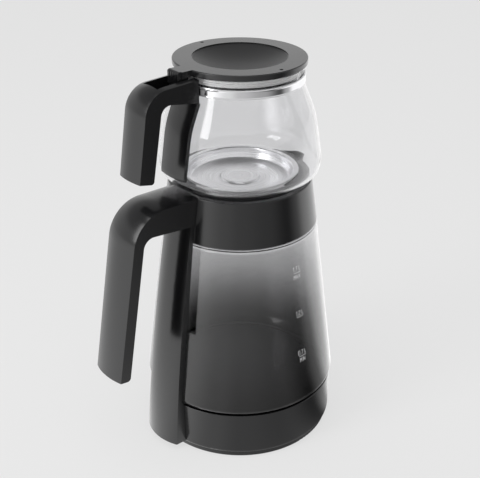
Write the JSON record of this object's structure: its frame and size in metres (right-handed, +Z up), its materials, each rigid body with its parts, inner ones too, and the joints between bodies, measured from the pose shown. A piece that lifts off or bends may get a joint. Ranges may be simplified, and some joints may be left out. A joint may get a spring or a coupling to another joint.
{
  "type": "tea maker",
  "caption": "Two-tier electric tea maker: a clear glass teapot with a hinged black lid stands on a smoked glass kettle, both with black handles on one side.",
  "frame": {"origin": "On the table, on the shared upright axis of kettle and teapot, in the plane of the foot ring", "axes": "+Z up along the shared axis; +X to the spout, away from both handles; Y along the lid's hinge pin"},
  "size_m": [0.2151, 0.1588, 0.3192],
  "materials": {
    "black_plastic": "gloss",
    "smoked_glass": "clear",
    "clear_glass": "clear",
    "polished_steel": "polished",
    "steel": "satin",
    "aluminium": "satin",
    "brass": "satin",
    "dark_silicone": "matte",
    "light_silicone": "matte"
  },
  "bodies": {
    "kettle": {"base_cover": "black_plastic", "base_screws": "steel", "connector_socket": "black_plastic", "connector_contacts": "brass", "bottom_band": "black_plastic", "floor_plate": "steel", "base_seal": "dark_silicone", "heat_spreader": "aluminium", "heating_element": "aluminium", "thermal_control": "black_plastic", "temperature_probe": "steel", "kettle_glass": "smoked_glass", "top_collar": "black_plastic", "collar_seal": "dark_silicone", "seat_ring": "dark_silicone", "spine_cover": "black_plastic", "kettle_handle_shell": "black_plastic", "kettle_handle_liner": "black_plastic", "handle_bracket": "steel", "bracket_screws": "steel"},
    "teapot": {"teapot_glass": "clear_glass", "teapot_floor_pan": "polished_steel", "floor_pan_seal": "light_silicone", "neck_band": "polished_steel", "neck_band_screw": "steel", "teapot_handle_shell": "black_plastic", "teapot_handle_liner": "black_plastic", "teapot_shield": "black_plastic", "lid_hinge_pin": "steel"},
    "lid": {"lid_plate": "black_plastic", "lid_skirt": "black_plastic", "lid_gasket": "light_silicone", "lid_lever": "black_plastic"}
  },
  "joints": [
    {"name": "teapot_lift", "type": "slide", "parent": "kettle", "child": "teapot", "axis": [0, 0, 1], "range_m": [0, 0.12]},
    {"name": "lid_hinge", "type": "hinge", "parent": "teapot", "child": "lid", "pos_m": [-0.0574, 0, 0.3096], "axis": [0, -1, 0], "range_deg": [0, 90]}
  ]
}
